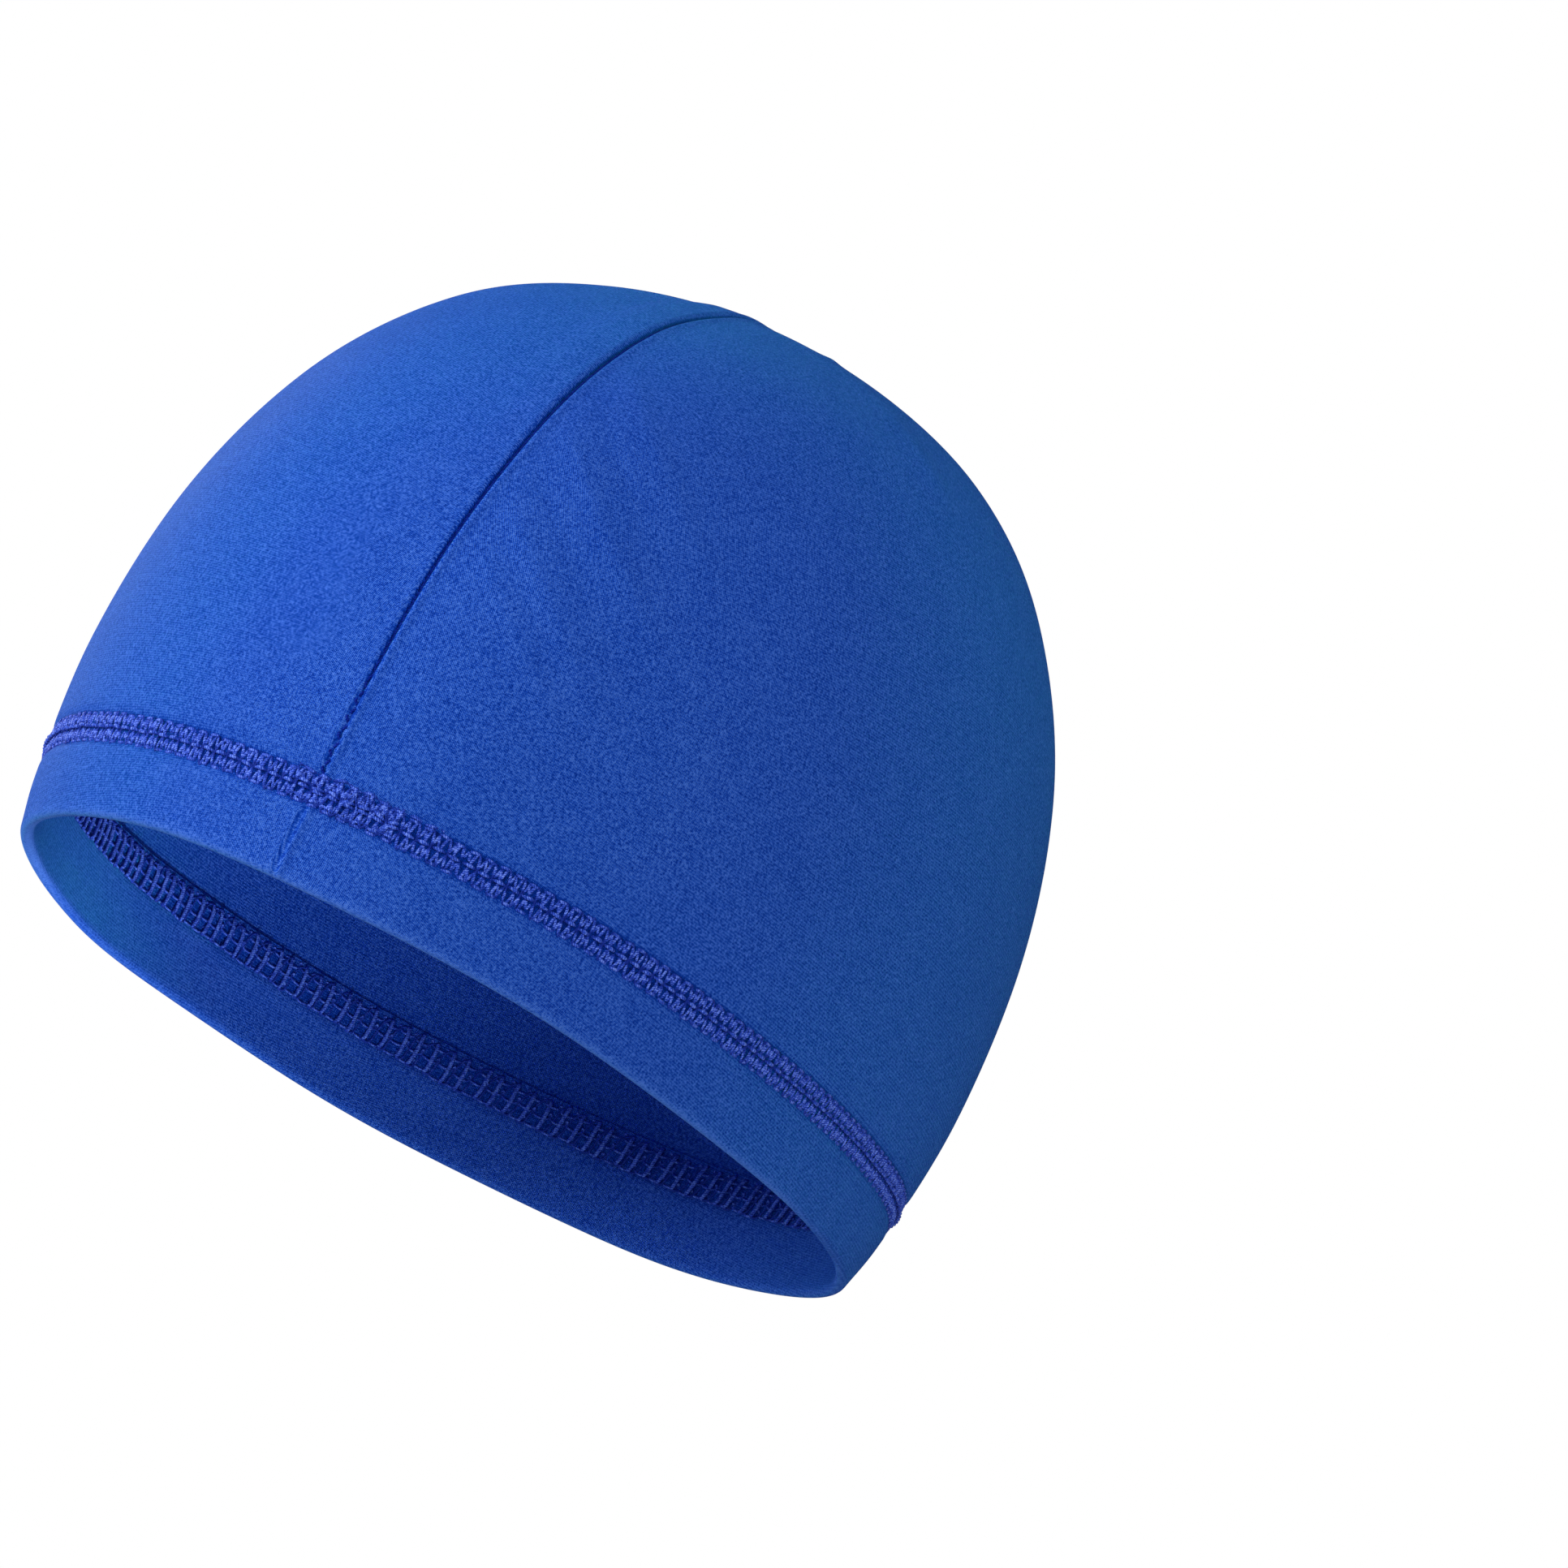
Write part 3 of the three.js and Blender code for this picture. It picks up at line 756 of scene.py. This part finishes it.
def under_seam(angle, rise, across, depth):
    """Points beside the seam at a distance across it and a depth. The wall curves away by
    across^2 / width, so the point goes deeper by that."""
    place, normal = smooth_face(angle, rise)
    point = place - (depth + across**2 / CAP_WIDTH)[..., None] * normal
    point[..., 0] = across
    return point, normal


def allowance_strip():
    """Two plies as one rounded strip: a flattened ring whose corners are superellipse shaped, with a
    notch at the cut edge between the plies, and a slight ripple along that edge."""
    angle, rise, line = seam_path(2.4 * MM, HEM_DEPTH + 0.3 * MM, 88 * MM)
    turn = np.arange(20) / 20 * 2 * math.pi
    bend = lambda v: np.sign(v) * np.abs(v) ** 0.45
    middle, half = (ALLOWANCE_LAP - ALLOWANCE_WIDTH) / 2, (ALLOWANCE_LAP + ALLOWANCE_WIDTH) / 2
    notch = 0.35 * MM * np.exp(-((turn - math.pi) / 0.35) ** 2)
    across = middle + half * bend(np.cos(turn)) + notch
    top = CLOTH_THICKNESS + ALLOWANCE_CLEARANCE
    depth = top + ALLOWANCE_THICKNESS / 2 * (1 - bend(np.sin(turn)))
    ripple = 0.12 * MM * np.sin(line / (3.1 * MM)) * np.sin(line / (11 * MM))
    across = across[None, :] + ripple[:, None] * (across < middle)
    depth = np.broadcast_to(depth, across.shape)
    points, _ = under_seam(angle[:, None], rise[:, None], across, depth)
    ends = [points[0].mean(0)[None], points[-1].mean(0)[None]]
    return grid_part(points[None], closed_uv(points)[None], poles=ends)


def overlock_loops():
    """Overlock thread: a squared coil round the strip's cut edge. With c and s the cosine and sine of
    2 pi t, it goes across by |c|^0.6 and into the depth by |s|^0.6, each with its sign. The needle
    thread is a row of short arches beside the seam."""
    angle, rise, line = seam_path(0.16 * MM, HEM_DEPTH + 1 * MM, 90 * MM)
    t = line / OVERLOCK_STITCH
    c, s = np.cos(2 * math.pi * t), np.sin(2 * math.pi * t)
    bend = lambda v: np.sign(v) * np.abs(v) ** 0.6
    across = -ALLOWANCE_WIDTH / 2 - 0.4 * MM + (ALLOWANCE_WIDTH / 2 - 0.1 * MM) * bend(c)
    centre = CLOTH_THICKNESS + ALLOWANCE_CLEARANCE + ALLOWANCE_THICKNESS / 2
    depth = centre + (ALLOWANCE_THICKNESS / 2 + 0.14 * MM) * bend(s)
    path, up = under_seam(angle, rise, across, depth)
    coil = thread_part(path[None], up[None], 0.16 * MM)
    needle_depth = centre + ALLOWANCE_THICKNESS / 2 + (0.22 * np.abs(np.sin(math.pi * t)) - 0.05) * MM
    path, up = under_seam(angle[::2], rise[::2], np.full(len(t[::2]), -0.8 * MM), needle_depth[::2])
    return [coil, thread_part(path[None], up[None], 0.15 * MM)]


allowance = new_piece("seam_allowance_plies", [allowance_strip()], overlocked)
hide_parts("seam_allowance")
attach(allowance, "root")
overlock = new_piece("seam_overlock_thread", overlock_loops(), overlock_thread)
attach(overlock, "root")


# The seam thread: the line of polyester needle thread that shows at the bottom of the groove. Near
# the hem, where the seam is bulky, it shows as short wavy stitches.
seam_thread = thread_material(
    "seam_thread", (0.002, 0.007, 0.14), (0.003, 0.013, 0.23), (0.008, 0.032, 0.38), 0.03)


SEAM_STITCH = 3 * MM


def seam_line():
    """The thread swings across the groove by swing * sin(p + 0.8 sin(l / 7 mm)), where p = 2 pi l /
    stitch and l is the distance along the seam. Near the hem the swing is wide, and the thread goes
    up and down with cos(2p)."""
    angle, rise, line = seam_path(0.4 * MM, 14 * MM, 93 * MM)
    height = np.interp(rise, RISES, HEIGHTS)
    near = np.where(angle < 0, 1 - smooth(height, 28 * MM, 42 * MM), 0)
    phase = 2 * math.pi * line / SEAM_STITCH
    across = (0.04 + 0.4 * near) * np.sin(phase + 0.8 * np.sin(line / (7 * MM))) * MM
    half = levels_at(rise)[0][:, 0] * CAP_WIDTH / 2 + 1e-6
    turn = np.arcsin(np.clip(np.abs(across) / half, 0, 0.9) ** (SECTION_POWER / 2)) * np.sign(across)
    turn = np.where(angle < 0, turn, -turn)
    smooth_point, normal = smooth_face(angle + turn, rise)
    place = cloth_point(angle, rise)[0] + smooth_point - smooth_face(angle, rise)[0]
    lift = (0.28 + near * (0.28 * np.cos(2 * phase) - 0.05)) * MM
    radius = (0.2 + 0.04 * near) * MM
    return thread_part((place + lift[:, None] * normal)[None], normal[None], radius[None])


seam_stitch = new_piece("seam_thread_line", [seam_line()], seam_thread)
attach(seam_stitch, "root")


# The studio: a pale floor far below that lights the underside, and soft white light from large lamps
# all round and above, brightest at the left and at the right front. A small lamp lights the hollow.
FLOOR_LEVEL = -1.5
FLOOR_HALF = 15
FLOOR_GLOW = 0.6  # what the camera sees of it, beside the light that falls on it
FLOOR_FILL = 0.3  # what it gives off for the underside of the cap


def add_floor():
    """The floor as one flat mesh of squares, centred under the cap."""
    marks = np.linspace(-FLOOR_HALF, FLOOR_HALF, 13)
    x, y = np.meshgrid(marks, marks, indexing="ij")
    points = np.stack([x, y, np.full_like(x, FLOOR_LEVEL)], -1)
    rows, columns = points.shape[:2]
    r, c = np.meshgrid(np.arange(rows - 1), np.arange(columns - 1), indexing="ij")
    at = lambda row, column: row * columns + column
    quads = np.stack([at(r, c), at(r + 1, c), at(r + 1, c + 1), at(r, c + 1)], -1).reshape(-1, 4)
    mesh = bpy.data.meshes.new("floor")
    mesh.from_pydata(points.reshape(-1, 3), [], quads.tolist())
    floor = bpy.data.objects.new("floor", mesh)
    bpy.context.scene.collection.objects.link(floor)
    material, tree, shader, _, place = new_material("pale_floor")
    cloudy = add_node(tree, "ShaderNodeTexNoise", Vector=place, Scale=1.5, Detail=2.0)
    tree.links.new(ramp(tree, cloudy, ((0.3, (0.80, 0.80, 0.80)), (0.7, (0.84, 0.84, 0.84)))),
                   shader.inputs["Base Color"])
    shader.inputs["Roughness"].default_value = 0.9
    shader.inputs["Emission Color"].default_value = (1, 1, 1, 1)
    camera_ray = tree.nodes.new("ShaderNodeLightPath").outputs["Is Camera Ray"]
    glow = calculate(tree, "MULTIPLY_ADD", camera_ray, FLOOR_GLOW, FLOOR_FILL)
    tree.links.new(glow, shader.inputs["Emission Strength"])
    mesh.materials.append(material)
    return floor


add_floor()


def add_lamp(name, place, size, watts, aim=(0, 0, CAP_HEIGHT / 2), spread=180):
    """A square area lamp, not seen itself, that looks from a place at a point, with a spread in
    degrees."""
    data = bpy.data.lights.new(name, "AREA")
    data.size, data.energy, data.spread = size, watts, math.radians(spread)
    lamp = bpy.data.objects.new(name, data)
    lamp.location = place
    lamp.rotation_euler = (Vector(aim) - Vector(place)).to_track_quat("-Z", "Y").to_euler()
    lamp.visible_camera = False
    bpy.context.scene.collection.objects.link(lamp)


LAMP_SIZE = 0.6
LAMPS = (  # name, place and watts
    ("left_lamp", (-1.2, -0.5, 0.1), 12.0),
    ("left_front_lamp", (-0.7, -1.1, 0.2), 2.6),
    ("right_front_lamp", (0.5, -1.25, 0.15), 7.8),
    ("right_back_lamp", (1.1, 0.6, 0.55), 2.0),
    ("left_back_lamp", (-1.0, 0.8, 0.4), 2.8),
    ("top_lamp", (-0.2, -0.3, 1.3), 4.0),
)
for name, place, watts in LAMPS:
    add_lamp(name, place, LAMP_SIZE, watts)
add_lamp("hollow_lamp", (0.03, -0.05, -0.12), 0.04, 0.034, aim=(-0.076, 0.01, 0.014), spread=62)

AMBIENT = 0.055  # strength of the air where the camera does not see it
world = bpy.data.worlds.new("white_studio")
world.use_nodes = True
tree = world.node_tree
air = tree.nodes["Background"]
air.inputs["Color"].default_value = (1, 1, 1, 1)
seen = tree.nodes.new("ShaderNodeLightPath").outputs["Is Camera Ray"]
tree.links.new(calculate(tree, "MULTIPLY_ADD", seen, 1 - AMBIENT, AMBIENT), air.inputs["Strength"])
bpy.context.scene.world = world
bpy.context.scene.view_settings.view_transform = "Standard"


# The camera looks up at the cap from a little below its hem, and is rolled clockwise.
CAMERA_AZIMUTH = math.radians(18.184)
CAMERA_ELEVATION = math.radians(-11.628)
CAMERA_ROLL = math.radians(26.568)
CAMERA_DISTANCE = 1.4003
CAMERA_AIM = (0.02858, 0.00281)  # to the right of and above the middle of the cap
camera_data = bpy.data.cameras.new("camera")
camera_data.lens = 189.95
camera_data.sensor_width = 36
camera_data.clip_start, camera_data.clip_end = 0.05, 50
camera = bpy.data.objects.new("camera", camera_data)
back = Vector((
    math.sin(CAMERA_AZIMUTH) * math.cos(CAMERA_ELEVATION),
    -math.cos(CAMERA_AZIMUTH) * math.cos(CAMERA_ELEVATION),
    math.sin(CAMERA_ELEVATION),
))
right = Vector((math.cos(CAMERA_AZIMUTH), math.sin(CAMERA_AZIMUTH), 0))
up = back.cross(right)
place = Vector((0, 0, CAP_HEIGHT / 2)) + right * CAMERA_AIM[0] + up * CAMERA_AIM[1]
place += back * CAMERA_DISTANCE
rolled_right = right * math.cos(CAMERA_ROLL) + up * math.sin(CAMERA_ROLL)
rolled_up = up * math.cos(CAMERA_ROLL) - right * math.sin(CAMERA_ROLL)
turned = Matrix((rolled_right, rolled_up, back)).transposed().to_4x4()
camera.matrix_world = Matrix.Translation(place) @ turned
bpy.context.scene.collection.objects.link(camera)
bpy.context.scene.camera = camera
